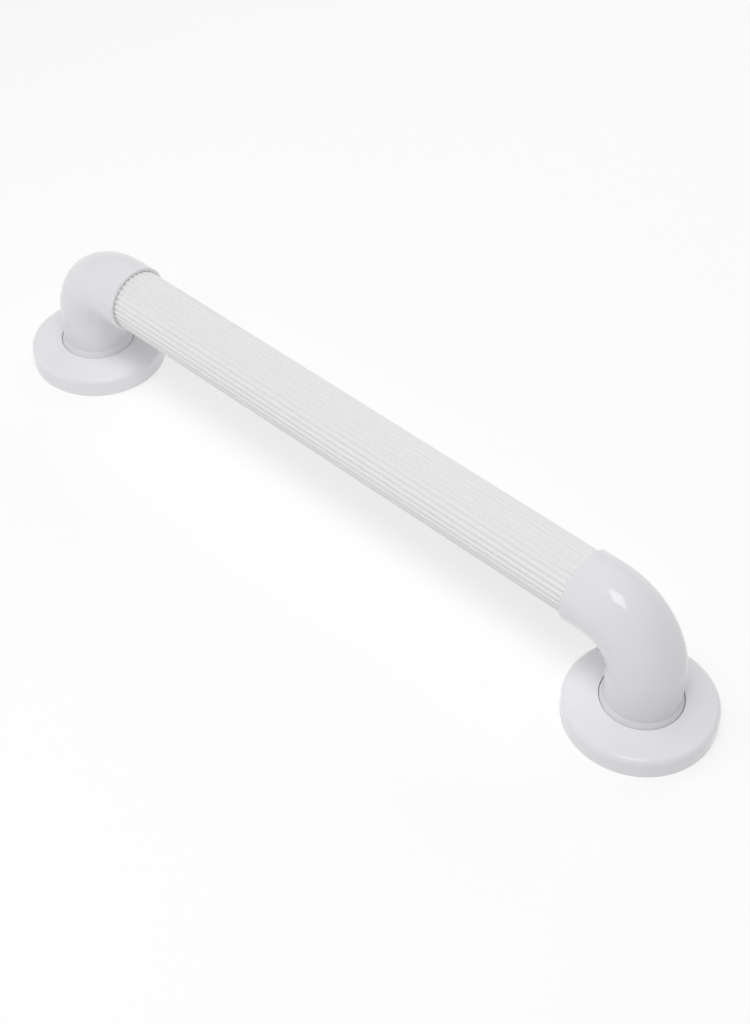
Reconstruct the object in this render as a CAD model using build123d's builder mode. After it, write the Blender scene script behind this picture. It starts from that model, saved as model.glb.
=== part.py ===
"""Fluted grab rail: a ribbed grip over a metal core, between two hollow elbow feet.

Frame, in millimetres: the wall is the plane z = 0, the rail runs along X and stands off
along +Z, and the origin is on the wall midway between the feet. The right foot's pieces
are modelled at +X and the left foot's are their mirror images.
"""

import os

from build123d import *

os.makedirs("parts", exist_ok=True)

# Overall sizes
foot_spacing = 400.0  # between the axes of the two feet
axis_height = 63.5  # grip axis above the wall
bend_radius = 30.0  # elbow's centre line

# Ribbed grip and its core
grip_radius = 17.5  # over the rib crests
rib_count = 34
rib_radius = 1.5  # rounded crest of each rib
rib_height = 0.63  # groove floor to crest
first_rib_angle = 90.0  # one rib along the top
grip_wall = 3.4  # crest to bore
core_wall = 1.6
core_fit = 0.1  # radial, in the grip and in the elbows
core_end_gap = 0.5

# Elbow
collar_wall = 1.8
collar_fit = 0.2  # radial, round the grip
collar_depth = 11.0  # rim to shoulder
collar_run = 11.5  # bend to rim
rim_round = 0.9
rim_lead_in = 0.3
core_seat_depth = 10.5  # bore for the core beyond the shoulder
leg_wall = 4.0
hollow_bend_angle = 75.0  # how far the leg's hollow follows the bend
seal_thickness = 1.0

# Foot: boss, flare, flange and gasket recess
boss_step = 1.5  # boss outside the leg
boss_height = 13.6  # above the wall
flare_rise = 6.0  # boss to plain leg
flange_top = 7.0  # above the wall
flange_round = 0.5
bead_radius = 0.6
bead_height = 5.6  # above the wall
gasket_thickness = 1.6
gasket_recess = 1.0
gasket_fit = 0.3  # radial, inside the recess
recess_lip = 0.9
gusset_count = 6
gusset_thickness = 1.6
gusset_reach = 5.2
gusset_rise = 3.8

# Wall screw holes
screw_count = 3
screw_first_angle = 90.0
screw_edge = 6.2  # hole centre to the flange's rim
screw_hole_radius = 2.75
screw_sink_radius = 5.25
screw_sink_angle = 90.0
gasket_hole_clearance = 0.25

# Flange cover
cover_radius = 39.0
cover_wall = 2.2
cover_lift = 0.3  # bottom edge above the wall
cover_edge_height = 11.5  # side and top would meet here without the shoulder
cover_proud = 0.4  # bore edge above the boss
cover_crown = 0.25  # how far the top bows outward
cover_shoulder = 3.0
cover_bore_gap = 0.25
cover_bore_round = 0.15
flange_gap = 1.6  # between the flange and the cover's inner wall
cover_rib_count = 6
cover_rib_first_angle = 15.0
cover_rib_thickness = 1.4
cover_rib_inset = 2.6  # inside end, from the bore
bump_width = 8.0
bump_height = 1.2
bump_drop = 2.2  # below the bead's centre
bump_fit = 0.1  # radial, outside the bead
cover_join = 0.4  # how far the ribs and bumps reach into the cover's wall

# Joint screws, through each elbow into the core
joint_screw_depth = 4.0  # beyond the shoulder
joint_shank_radius = 2.0
joint_shank_length = 7.5
joint_head_radius = 3.5
joint_head_height = 2.4
joint_head_round = 1.0
joint_tip_chamfer = 0.8
joint_head_sink = 2.6  # seat below the elbow's surface
joint_head_fit = 0.2
joint_shank_fit = 0.1
joint_pilot_fit = 0.02
joint_slot_length = 3.8
joint_slot_width = 0.8
joint_slot_depth = 1.2

# How far a cut runs past a surface, and a gusset reaches into the foot
overrun = 1.0

# Sizes that follow from the ones above
foot_x = foot_spacing / 2
core_radius = grip_radius - grip_wall - core_fit
core_bore_radius = core_radius + core_fit
collar_bore_radius = grip_radius + collar_fit
elbow_radius = collar_bore_radius + collar_wall
hollow_radius = elbow_radius - leg_wall
boss_radius = elbow_radius + boss_step
bend_height = axis_height - bend_radius
bend_x = foot_x - bend_radius
rim_x = bend_x - collar_run
shoulder_x = rim_x + collar_depth
core_seat_x = shoulder_x + core_seat_depth
flange_bottom = gasket_thickness - gasket_recess
cover_inner_radius = cover_radius - cover_wall
flange_radius = cover_inner_radius - flange_gap
recess_outer_radius = flange_radius - recess_lip
recess_inner_radius = hollow_radius + recess_lip
screw_circle_radius = flange_radius - screw_edge
cover_bore_radius = boss_radius + cover_bore_gap
cover_height = boss_height + cover_proud
joint_screw_x = shoulder_x + joint_screw_depth
joint_seat_y = elbow_radius - joint_head_sink

# Shared planes and axes of the right foot
foot_axis = Axis((foot_x, 0, 0), (0, 0, 1))
bend_axis = Axis((bend_x, 0, bend_height), (0, -1, 0))
bend_plane = Plane((foot_x, 0, bend_height))
rim_plane = Plane((rim_x, 0, axis_height), x_dir=(0, 1, 0), z_dir=(1, 0, 0))
shoulder_plane = Plane((shoulder_x, 0, axis_height), x_dir=(0, 1, 0), z_dir=(1, 0, 0))
joint_plane = Plane((joint_screw_x, joint_seat_y, axis_height), x_dir=(1, 0, 0), z_dir=(0, 1, 0))


def foot_plane(height):
    """Level plane on the right foot's axis, at a height above the wall."""
    return Plane((foot_x, 0, height))


def radial_plane(angle):
    """Upright plane through the right foot's axis: local x is outward, local y is up."""
    outward = Vector(1, 0, 0).rotate(Axis.Z, angle)
    return Plane((foot_x, 0, 0), x_dir=outward, z_dir=outward.cross(Vector(0, 0, 1)))


def evenly_spaced(count, first_angle=0.0):
    """Angles of a full ring of equal features."""
    return [first_angle + 360.0 * index / count for index in range(count)]


# Grip: a sleeve with rounded ribs along its whole length
grip_length = 2 * (shoulder_x - seal_thickness)
with BuildPart() as fluted_grip_tube:
    with BuildSketch(Plane((0, 0, axis_height), x_dir=(0, 1, 0), z_dir=(1, 0, 0))):
        Circle(grip_radius - rib_height)
        with PolarLocations(grip_radius - rib_radius, rib_count, start_angle=first_rib_angle):
            Circle(rib_radius)
        Circle(core_bore_radius, mode=Mode.SUBTRACT)
    extrude(amount=grip_length / 2, both=True)

# Core: plain metal tube with a pilot hole near each end
core_length = 2 * (core_seat_x - core_end_gap)
with BuildPart() as core_tube:
    with BuildSketch(Plane((0, 0, axis_height), x_dir=(0, 1, 0), z_dir=(1, 0, 0))):
        Circle(core_radius)
        Circle(core_radius - core_wall, mode=Mode.SUBTRACT)
    extrude(amount=core_length / 2, both=True)
    with BuildSketch(joint_plane):
        with Locations((0, 0), (-2 * joint_screw_x, 0)):
            Circle(joint_shank_radius + joint_pilot_fit)
    extrude(amount=-joint_seat_y, mode=Mode.SUBTRACT)

# Elbow: foot flange, boss, flared leg, bend and collar in one hollow moulding
with BuildPart() as right_elbow:
    with BuildSketch(radial_plane(0.0)) as foot_profile:
        with BuildLine():
            Polyline(
                (elbow_radius, boss_height + flare_rise),
                (elbow_radius, bend_height),
                (0, bend_height),
                (0, flange_bottom),
                (flange_radius, flange_bottom),
                (flange_radius, flange_top),
                (boss_radius, flange_top),
                (boss_radius, boss_height),
            )
            TangentArc(
                (elbow_radius, boss_height + flare_rise),
                (boss_radius, boss_height),
                tangent=(0, -1),
            )
        make_face()
        flange_corner = foot_profile.vertices().sort_by_distance((flange_radius, flange_top))[0]
        fillet(flange_corner, radius=flange_round)
        with Locations((flange_radius, bead_height)):
            Circle(bead_radius)
    revolve(axis=foot_axis)
    with BuildSketch(bend_plane):
        Circle(elbow_radius)
    revolve(axis=bend_axis, revolution_arc=90.0)
    with BuildSketch(rim_plane):
        Circle(elbow_radius)
    extrude(amount=bend_x - rim_x)
    rim_edge = right_elbow.edges().filter_by(GeomType.CIRCLE).sort_by_distance(
        (rim_x, elbow_radius, axis_height)
    )[0]
    fillet(rim_edge, radius=rim_round)

    with BuildSketch(*[radial_plane(angle) for angle in evenly_spaced(gusset_count)]):
        with BuildLine():
            Polyline(
                (boss_radius - overrun, flange_top - overrun),
                (boss_radius + gusset_reach, flange_top - overrun),
                (boss_radius + gusset_reach, flange_top),
                (boss_radius, flange_top + gusset_rise),
                (boss_radius - overrun, flange_top + gusset_rise),
                close=True,
            )
        make_face()
    extrude(amount=gusset_thickness / 2, both=True)

    with BuildSketch(foot_plane(flange_bottom)):
        Circle(hollow_radius)
    extrude(amount=bend_height - flange_bottom, mode=Mode.SUBTRACT)
    with BuildSketch(bend_plane):
        Circle(hollow_radius)
    revolve(axis=bend_axis, revolution_arc=hollow_bend_angle, mode=Mode.SUBTRACT)
    with BuildSketch(rim_plane):
        Circle(collar_bore_radius)
    extrude(amount=collar_depth, mode=Mode.SUBTRACT)
    rim_mouth = right_elbow.edges().filter_by(GeomType.CIRCLE).sort_by_distance(
        (rim_x, collar_bore_radius, axis_height)
    )[0]
    chamfer(rim_mouth, length=rim_lead_in)
    with BuildSketch(shoulder_plane):
        Circle(core_bore_radius)
    extrude(amount=core_seat_depth, mode=Mode.SUBTRACT)

    with BuildSketch(foot_plane(flange_bottom)):
        Circle(recess_outer_radius)
        Circle(recess_inner_radius, mode=Mode.SUBTRACT)
    extrude(amount=gasket_recess, mode=Mode.SUBTRACT)
    with Locations(foot_plane(flange_top)):
        with PolarLocations(screw_circle_radius, screw_count, start_angle=screw_first_angle):
            CounterSinkHole(
                screw_hole_radius,
                screw_sink_radius,
                depth=flange_top,
                counter_sink_angle=screw_sink_angle,
            )
    with BuildSketch(joint_plane):
        Circle(joint_head_radius + joint_head_fit)
    extrude(amount=joint_head_sink + overrun, mode=Mode.SUBTRACT)
    with BuildSketch(joint_plane):
        Circle(joint_shank_radius + joint_shank_fit)
    extrude(amount=-joint_seat_y, mode=Mode.SUBTRACT)

with BuildPart() as left_elbow:
    mirror(right_elbow.part, about=Plane.YZ)

# Flange cover: shallow domed ring that drops over the flange and hides the wall screws
with BuildPart() as right_flange_cover:
    with BuildSketch(radial_plane(0.0)) as cover_profile:
        with BuildLine():
            SagittaArc(
                (cover_radius, cover_edge_height), (cover_bore_radius, cover_height), -cover_crown
            )
            Polyline(
                (cover_bore_radius, cover_height),
                (cover_bore_radius, cover_height - cover_wall),
                (cover_inner_radius, cover_edge_height - cover_wall),
                (cover_inner_radius, cover_lift),
                (cover_radius, cover_lift),
                (cover_radius, cover_edge_height),
            )
        make_face()
        cover_corner = cover_profile.vertices().sort_by_distance((cover_radius, cover_edge_height))[0]
        fillet(cover_corner, radius=cover_shoulder)
        bore_corner = cover_profile.vertices().sort_by_distance((cover_bore_radius, cover_height))[0]
        fillet(bore_corner, radius=cover_bore_round)
    revolve(axis=foot_axis)

    rib_planes = [
        radial_plane(angle) for angle in evenly_spaced(cover_rib_count, cover_rib_first_angle)
    ]
    with BuildSketch(*rib_planes):
        with BuildLine():
            Polyline(
                (cover_bore_radius + cover_rib_inset, flange_top),
                (cover_inner_radius + cover_join, flange_top),
                (cover_inner_radius + cover_join, cover_edge_height - cover_wall / 2),
                (cover_bore_radius + cover_rib_inset, cover_height - cover_wall / 2 - cover_join),
                close=True,
            )
        make_face()
    extrude(amount=cover_rib_thickness / 2, both=True)

    with BuildSketch(foot_plane(bead_height - bump_drop)):
        with PolarLocations(cover_inner_radius, cover_rib_count, start_angle=cover_rib_first_angle):
            Rectangle(2 * flange_gap, bump_width)
        Circle(cover_inner_radius + cover_join, mode=Mode.INTERSECT)
        Circle(flange_radius + bead_radius + bump_fit, mode=Mode.SUBTRACT)
    extrude(amount=bump_height)

with BuildPart() as left_flange_cover:
    mirror(right_flange_cover.part, about=Plane.YZ)

# Base gasket: flat rubber ring in the flange's recess, standing proud of the flange
with BuildPart() as right_base_gasket:
    with BuildSketch(foot_plane(0.0)):
        Circle(recess_outer_radius - gasket_fit)
        Circle(recess_inner_radius + gasket_fit, mode=Mode.SUBTRACT)
        with PolarLocations(screw_circle_radius, screw_count, start_angle=screw_first_angle):
            Circle(screw_hole_radius + gasket_hole_clearance, mode=Mode.SUBTRACT)
    extrude(amount=gasket_thickness)

with BuildPart() as left_base_gasket:
    mirror(right_base_gasket.part, about=Plane.YZ)

# Tube end seal: washer between the grip's end and the collar's shoulder
with BuildPart() as right_tube_end_seal:
    with BuildSketch(shoulder_plane):
        Circle(grip_radius)
        Circle(core_bore_radius + core_fit, mode=Mode.SUBTRACT)
    extrude(amount=-seal_thickness)

with BuildPart() as left_tube_end_seal:
    mirror(right_tube_end_seal.part, about=Plane.YZ)

# Joint screw: pan head with a cross slot, on a plain shank
with BuildPart() as right_joint_screw:
    with BuildSketch(joint_plane):
        Circle(joint_head_radius)
    extrude(amount=joint_head_height)
    head_edge = right_joint_screw.edges().filter_by(GeomType.CIRCLE).sort_by(Axis.Y)[-1]
    fillet(head_edge, radius=joint_head_round)
    with BuildSketch(joint_plane.offset(joint_head_height)):
        Rectangle(joint_slot_length, joint_slot_width)
        Rectangle(joint_slot_width, joint_slot_length)
    extrude(amount=-joint_slot_depth, mode=Mode.SUBTRACT)
    with BuildSketch(joint_plane):
        Circle(joint_shank_radius)
    extrude(amount=-joint_shank_length)
    tip_edge = right_joint_screw.edges().filter_by(GeomType.CIRCLE).sort_by(Axis.Y)[0]
    chamfer(tip_edge, length=joint_tip_chamfer)

with BuildPart() as left_joint_screw:
    mirror(right_joint_screw.part, about=Plane.YZ)

fluted_grip_tube.part.label = "fluted_grip_tube"
export_step(fluted_grip_tube.part, "parts/fluted_grip_tube.step")
core_tube.part.label = "core_tube"
export_step(core_tube.part, "parts/core_tube.step")
right_elbow.part.label = "right_elbow"
export_step(right_elbow.part, "parts/right_elbow.step")
left_elbow.part.label = "left_elbow"
export_step(left_elbow.part, "parts/left_elbow.step")
right_flange_cover.part.label = "right_flange_cover"
export_step(right_flange_cover.part, "parts/right_flange_cover.step")
left_flange_cover.part.label = "left_flange_cover"
export_step(left_flange_cover.part, "parts/left_flange_cover.step")
right_base_gasket.part.label = "right_base_gasket"
export_step(right_base_gasket.part, "parts/right_base_gasket.step")
left_base_gasket.part.label = "left_base_gasket"
export_step(left_base_gasket.part, "parts/left_base_gasket.step")
right_tube_end_seal.part.label = "right_tube_end_seal"
export_step(right_tube_end_seal.part, "parts/right_tube_end_seal.step")
left_tube_end_seal.part.label = "left_tube_end_seal"
export_step(left_tube_end_seal.part, "parts/left_tube_end_seal.step")
right_joint_screw.part.label = "right_joint_screw"
export_step(right_joint_screw.part, "parts/right_joint_screw.step")
left_joint_screw.part.label = "left_joint_screw"
export_step(left_joint_screw.part, "parts/left_joint_screw.step")
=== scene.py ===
"""Looks of a fluted wall grab rail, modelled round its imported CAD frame.

Lengths are metres in the frame's own axes. The wall is the plane z = 0, the rail runs
along X and stands off along +Z, and the origin is on the wall midway between the feet.
"""

import logging
import math
from dataclasses import dataclass
from enum import Enum
from typing import Callable, Iterable, Sequence

import bmesh
import bpy
from bmesh.types import BMEdge, BMesh, BMVert
from mathutils import Matrix, Vector

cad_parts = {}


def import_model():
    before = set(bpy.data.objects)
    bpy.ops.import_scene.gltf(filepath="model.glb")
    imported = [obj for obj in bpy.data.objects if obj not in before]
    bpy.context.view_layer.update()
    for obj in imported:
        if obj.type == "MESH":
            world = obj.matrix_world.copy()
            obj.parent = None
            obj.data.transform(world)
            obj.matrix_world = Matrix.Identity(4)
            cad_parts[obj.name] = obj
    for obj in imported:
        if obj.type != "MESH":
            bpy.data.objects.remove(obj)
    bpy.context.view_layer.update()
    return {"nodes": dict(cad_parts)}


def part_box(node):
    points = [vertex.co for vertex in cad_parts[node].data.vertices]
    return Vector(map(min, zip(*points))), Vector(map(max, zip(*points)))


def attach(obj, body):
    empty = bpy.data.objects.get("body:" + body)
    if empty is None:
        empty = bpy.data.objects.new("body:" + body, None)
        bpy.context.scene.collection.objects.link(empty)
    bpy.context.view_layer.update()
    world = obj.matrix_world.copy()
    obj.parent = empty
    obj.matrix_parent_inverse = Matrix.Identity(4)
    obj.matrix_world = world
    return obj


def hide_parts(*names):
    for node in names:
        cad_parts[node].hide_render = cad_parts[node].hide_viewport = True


Material = bpy.types.Material
Node = bpy.types.Node
NodeTree = bpy.types.NodeTree
Piece = bpy.types.Object
Socket = bpy.types.NodeSocket

LOG = logging.getLogger("grab_rail")
MM = 0.001
QUARTER_TURN = math.pi / 2


class Body(Enum):
    """CAD body that a piece moves with."""

    RAIL = "rail"
    RIGHT_COVER = "right_cover"
    LEFT_COVER = "left_cover"


class Side(Enum):
    """Which foot a piece belongs to; the value is the sign of its x."""

    RIGHT = 1
    LEFT = -1

    @property
    def prefix(self) -> str:
        """Name that starts the side's CAD nodes."""
        return self.name.lower()

    @property
    def cover(self) -> Body:
        """Body of the side's flange cover."""
        return Body.RIGHT_COVER if self is Side.RIGHT else Body.LEFT_COVER

    def angle(self, degrees: float) -> float:
        """Angle about the foot axis, in radians, mirrored for the left foot."""
        return math.radians(degrees if self is Side.RIGHT else 180.0 - degrees)


# ---------------------------------------------------------------------------
# Sizes read from the frame
# ---------------------------------------------------------------------------


@dataclass(frozen=True)
class RailSizes:
    """Sizes that the pieces share, measured on the CAD nodes' boxes."""

    foot_x: float
    axis_height: float
    grip_radius: float
    grip_half_length: float
    core_radius: float
    rim_reach: float
    elbow_radius: float
    flange_bottom: float
    gasket_top: float
    gasket_radius: float
    cover_radius: float
    cover_bottom: float
    cover_height: float
    screw_reach: float
    screw_seat: float

    @classmethod
    def measure(cls) -> "RailSizes":
        """Reads the sizes.

        Returns:
            The shared sizes, taken from the right foot.
        """
        grip_low, grip_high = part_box("fluted_grip_tube")
        core_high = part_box("core_tube")[1]
        elbow_low, elbow_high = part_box("right_elbow")
        cover_low, cover_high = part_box("right_flange_cover")
        gasket_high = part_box("right_base_gasket")[1]
        screw_low, screw_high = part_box("right_joint_screw")
        foot_x = (cover_low.x + cover_high.x) / 2
        axis_height = (grip_low.z + grip_high.z) / 2
        return cls(
            foot_x=foot_x,
            axis_height=axis_height,
            grip_radius=(grip_high.z - grip_low.z) / 2,
            grip_half_length=grip_high.x,
            core_radius=core_high.y,
            rim_reach=foot_x - elbow_low.x,
            elbow_radius=elbow_high.z - axis_height,
            flange_bottom=elbow_low.z,
            gasket_top=gasket_high.z,
            gasket_radius=gasket_high.y,
            cover_radius=cover_high.y,
            cover_bottom=cover_low.z,
            cover_height=cover_high.z,
            screw_reach=foot_x - (screw_low.x + screw_high.x) / 2,
            screw_seat=screw_high.y - JointRecess.head_height,
        )


# ---------------------------------------------------------------------------
# Mesh tools
# ---------------------------------------------------------------------------


@dataclass(frozen=True)
class Station:
    """One round section of a skin: its centre, the way it faces and its radius."""

    centre: Vector
    facing: Vector
    radius: float
    across: Vector = Vector((0.0, 1.0, 0.0))

    def matrix(self) -> Matrix:
        """Frame of the section, scaled so that a unit circle becomes the section."""
        facing = self.facing.normalized()
        first = self.across.cross(facing)
        columns = (first * self.radius, self.across * self.radius, facing, self.centre)
        matrix = Matrix([column.to_4d() for column in columns]).transposed()
        matrix[3] = (0.0, 0.0, 0.0, 1.0)
        return matrix


def ring_edges(verts: Iterable[BMVert]) -> list[BMEdge]:
    """Edges whose two ends are both among the given vertices."""
    members = set(verts)
    found = {edge for vert in members for edge in vert.link_edges}
    return [edge for edge in found if all(end in members for end in edge.verts)]


class Skin:
    """Open skin that grows by extruding its last ring from station to station."""

    def __init__(self, mesh: BMesh, start: Station, sides: int) -> None:
        """Starts the skin with one ring.

        Args:
            mesh: Mesh that the skin is built in.
            start: First section.
            sides: Edges round the ring.
        """
        made = bmesh.ops.create_circle(
            mesh, cap_ends=False, segments=sides, radius=1.0, matrix=start.matrix()
        )
        self.mesh = mesh
        self.station = start
        self.verts: list[BMVert] = made["verts"]
        self.first = ring_edges(self.verts)
        self.edges = self.first

    def grow(self, stations: Iterable[Station]) -> "Skin":
        """Extrudes the last ring through each station in turn.

        Args:
            stations: Sections to pass through.

        Returns:
            The same skin.
        """
        for station in stations:
            made = bmesh.ops.extrude_edge_only(self.mesh, edges=self.edges)
            self.verts = [item for item in made["geom"] if isinstance(item, BMVert)]
            self.edges = ring_edges(self.verts)
            step = station.matrix() @ self.station.matrix().inverted()
            bmesh.ops.transform(self.mesh, matrix=step, verts=self.verts)
            self.station = station
        return self

    def join_ends(self) -> None:
        """Closes the skin on itself, last ring to first."""
        bmesh.ops.bridge_loops(self.mesh, edges=self.first + self.edges)

    def cap(self) -> None:
        """Fills the last ring with one flat face."""
        bmesh.ops.contextual_create(self.mesh, geom=self.edges)


def steps(count: int, start: float, end: float) -> list[float]:
    """Evenly spaced values after start, up to and including end.

    Args:
        count: Number of values.
        start: Value that the run leaves from, not included.
        end: Last value.

    Returns:
        The values in order.
    """
    return [start + (end - start) * index / count for index in range(1, count + 1)]


def arc_points(
    count: int, start: float, end: float, centre: tuple[float, float], radius: float
) -> list[tuple[float, float]]:
    """Points of an arc in the plane of a section, after its first point.

    Args:
        count: Number of points.
        start: Angle that the arc leaves from, in radians.
        end: Angle of the last point.
        centre: Middle of the arc, out from the axis and along it.
        radius: Radius of the arc.

    Returns:
        Each point's distance from the axis and its place along it.
    """
    angles = steps(count, start, end)
    out, along = centre
    return [(out + radius * math.cos(angle), along + radius * math.sin(angle)) for angle in angles]


def evenly_spaced(count: int, first: float = 0.0) -> list[float]:
    """Angles in degrees of a full ring of equal features."""
    return [first + 360.0 * index / count for index in range(count)]


def add_prism(mesh: BMesh, outline: Sequence[tuple[float, float]], place: Matrix, width: float) -> None:
    """Adds a flat-sided plate of even thickness.

    Args:
        mesh: Mesh to add to.
        outline: Corners in the plate's own x and y.
        place: Frame of the plate's middle plane.
        width: Thickness, half each side of that plane.
    """
    start = place @ Matrix.Translation((0.0, 0.0, -width / 2))
    corners = [mesh.verts.new(start @ Vector((x, y, 0.0))) for x, y in outline]
    face = mesh.faces.new(corners)
    made = bmesh.ops.extrude_face_region(mesh, geom=[face], use_keep_orig=True)
    moved = [item for item in made["geom"] if isinstance(item, BMVert)]
    bmesh.ops.translate(mesh, verts=moved, vec=place.to_3x3().col[2] * width)


def radial_frame(centre_x: float, angle: float) -> Matrix:
    """Upright frame through a foot's axis: x outward at the angle, y up.

    Args:
        centre_x: Where the foot's axis is.
        angle: Direction of the frame's x, in radians.

    Returns:
        The frame as a matrix.
    """
    turn = Matrix.Rotation(angle, 4, "Z") @ Matrix.Rotation(QUARTER_TURN, 4, "X")
    return Matrix.Translation((centre_x, 0.0, 0.0)) @ turn


def finish_mesh(mesh: BMesh, name: str, crease_degrees: float = 32.0) -> Piece:
    """Turns a bmesh into a smooth-shaded object at the origin.

    Args:
        mesh: Closed mesh, which is freed.
        name: Name of the object and its mesh.
        crease_degrees: Edges sharper than this stay crisp.

    Returns:
        The new object, linked to the scene.
    """
    bmesh.ops.recalc_face_normals(mesh, faces=mesh.faces)
    for face in mesh.faces:
        face.smooth = True
    for edge in mesh.edges:
        edge.smooth = edge.calc_face_angle(0.0) < math.radians(crease_degrees)
    data = bpy.data.meshes.new(name)
    mesh.to_mesh(data)
    mesh.free()
    piece = bpy.data.objects.new(name, data)
    bpy.context.scene.collection.objects.link(piece)
    return piece


def cut_away(piece: Piece, cutter: Piece) -> None:
    """Subtracts one closed piece from another for good, and removes the cutter.

    Args:
        piece: Piece that keeps its name and gets the new mesh.
        cutter: Closed shape to take away.
    """
    trim = piece.modifiers.new("cut", "BOOLEAN")
    trim.operation = "DIFFERENCE"
    trim.solver = "EXACT"
    trim.object = cutter
    graph = bpy.context.evaluated_depsgraph_get()
    result = bpy.data.meshes.new_from_object(piece.evaluated_get(graph))
    piece.modifiers.clear()
    old = piece.data
    piece.data = result
    name = old.name
    bpy.data.meshes.remove(old)
    result.name = name
    bpy.data.objects.remove(cutter)


def even_shading(piece: Piece) -> None:
    """Lets large faces set the shading of the small roundings beside them."""
    weigh = piece.modifiers.new("even_shading", "WEIGHTED_NORMAL")
    weigh.keep_sharp = True


# ---------------------------------------------------------------------------
# Node groups and finishes
# ---------------------------------------------------------------------------


class Wiring:
    """Short way to add and join the nodes of one tree."""

    def __init__(self, tree: NodeTree) -> None:
        """Works on the given tree."""
        self.tree = tree

    def add(self, kind: str, **settings: object) -> Node:
        """Adds a node.

        Args:
            kind: Node type.
            **settings: Properties to set on it.

        Returns:
            The node.
        """
        node = self.tree.nodes.new(kind)
        for key, value in settings.items():
            setattr(node, key, value)
        return node

    def join(self, source: Socket, target: Socket) -> None:
        """Joins two sockets."""
        self.tree.links.new(source, target)

    def noise(self, vector: Socket, scale: float, detail: float) -> Socket:
        """Adds a noise texture.

        Args:
            vector: Coordinates to read.
            scale: Cells per metre.
            detail: Octaves.

        Returns:
            The noise value's socket.
        """
        node = self.add("ShaderNodeTexNoise")
        node.inputs["Scale"].default_value = scale
        node.inputs["Detail"].default_value = detail
        self.join(vector, node.inputs["Vector"])
        return node.outputs["Fac"]

    def spread(self, value: Socket, low: float | Socket, high: float | Socket) -> Socket:
        """Maps a value from 0 to 1 onto low to high.

        Args:
            value: Socket to map.
            low: Result at 0, a number or a socket.
            high: Result at 1, a number or a socket.

        Returns:
            The mapped value's socket.
        """
        node = self.add("ShaderNodeMapRange")
        self.join(value, node.inputs["Value"])
        for name, end in (("To Min", low), ("To Max", high)):
            if isinstance(end, Socket):
                self.join(end, node.inputs[name])
            else:
                node.inputs[name].default_value = end
        return node.outputs["Result"]

    def math(self, *terms: float | Socket, operation: str = "ADD") -> Socket:
        """Combines two terms with a math node.

        Args:
            *terms: Two numbers or sockets.
            operation: Math operation.

        Returns:
            The result's socket.
        """
        node = self.add("ShaderNodeMath", operation=operation)
        for index, term in enumerate(terms):
            if isinstance(term, Socket):
                self.join(term, node.inputs[index])
            else:
                node.inputs[index].default_value = term
        return node.outputs[0]

    def tint(
        self,
        mask: Socket,
        base: Sequence[float] | Socket,
        other: Sequence[float] | Socket,
    ) -> Socket:
        """Mixes two colours by a mask.

        Args:
            mask: 0 gives base and 1 gives other.
            base: Colour or socket.
            other: Colour or socket.

        Returns:
            The mixed colour's socket.
        """
        node = self.add("ShaderNodeMix", data_type="RGBA")
        self.join(mask, node.inputs[0])
        for socket, colour in ((node.inputs[6], base), (node.inputs[7], other)):
            if isinstance(colour, Socket):
                self.join(colour, socket)
            else:
                socket.default_value = (*colour, 1.0)
        return node.outputs[2]


def new_group(name: str, inputs: dict[str, str], outputs: dict[str, str]) -> tuple[NodeTree, Wiring]:
    """Makes an empty shader group with named sockets.

    Args:
        name: Name of the group.
        inputs: Input names and socket types.
        outputs: Output names and socket types.

    Returns:
        The group and its wiring.
    """
    group = bpy.data.node_groups.new(name, "ShaderNodeTree")
    for label, kind in inputs.items():
        group.interface.new_socket(name=label, in_out="INPUT", socket_type=kind)
    for label, kind in outputs.items():
        group.interface.new_socket(name=label, in_out="OUTPUT", socket_type=kind)
    return group, Wiring(group)


def moulded_surface() -> NodeTree:
    """Faint mottling, uneven gloss and fine grain of a moulded or extruded polymer.

    Returns:
        The group, built on first use.
    """
    name = "moulded_surface"
    if name in bpy.data.node_groups:
        return bpy.data.node_groups[name]
    floats = "NodeSocketFloat"
    group, wire = new_group(
        name,
        {
            "Vector": "NodeSocketVector",
            "Colour": "NodeSocketColor",
            "Shade": "NodeSocketColor",
            "Gloss Low": floats,
            "Gloss High": floats,
            "Grain Scale": floats,
        },
        {"Colour": "NodeSocketColor", "Roughness": floats, "Height": floats},
    )
    source = wire.add("NodeGroupInput").outputs
    target = wire.add("NodeGroupOutput").inputs
    mottle = wire.noise(source["Vector"], scale=22.0, detail=3.0)
    smear = wire.noise(source["Vector"], scale=160.0, detail=4.0)
    grain = wire.noise(source["Vector"], scale=1.0, detail=2.0)
    wire.join(source["Grain Scale"], grain.node.inputs["Scale"])
    wire.join(wire.tint(mottle, source["Colour"], source["Shade"]), target["Colour"])
    wire.join(wire.spread(smear, source["Gloss Low"], source["Gloss High"]), target["Roughness"])
    wire.join(wire.math(grain, wire.math(smear, 0.5, operation="MULTIPLY")), target["Height"])
    return group


def drawn_marks() -> NodeTree:
    """Fine lines that drawing or turning leaves on bare metal.

    Returns:
        The group, built on first use.
    """
    name = "drawn_marks"
    if name in bpy.data.node_groups:
        return bpy.data.node_groups[name]
    floats = "NodeSocketFloat"
    group, wire = new_group(
        name,
        {"Vector": "NodeSocketVector", "Line Scale": floats, "Gloss Low": floats, "Gloss High": floats},
        {"Mask": floats, "Roughness": floats, "Height": floats},
    )
    source = wire.add("NodeGroupInput").outputs
    target = wire.add("NodeGroupOutput").inputs
    lines = wire.noise(source["Vector"], scale=1.0, detail=5.0)
    wire.join(source["Line Scale"], lines.node.inputs["Scale"])
    wire.join(wire.spread(lines, source["Gloss Low"], source["Gloss High"]), target["Roughness"])
    wire.join(wire.noise(source["Vector"], scale=30.0, detail=3.0), target["Mask"])
    wire.join(lines, target["Height"])
    return group


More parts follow.
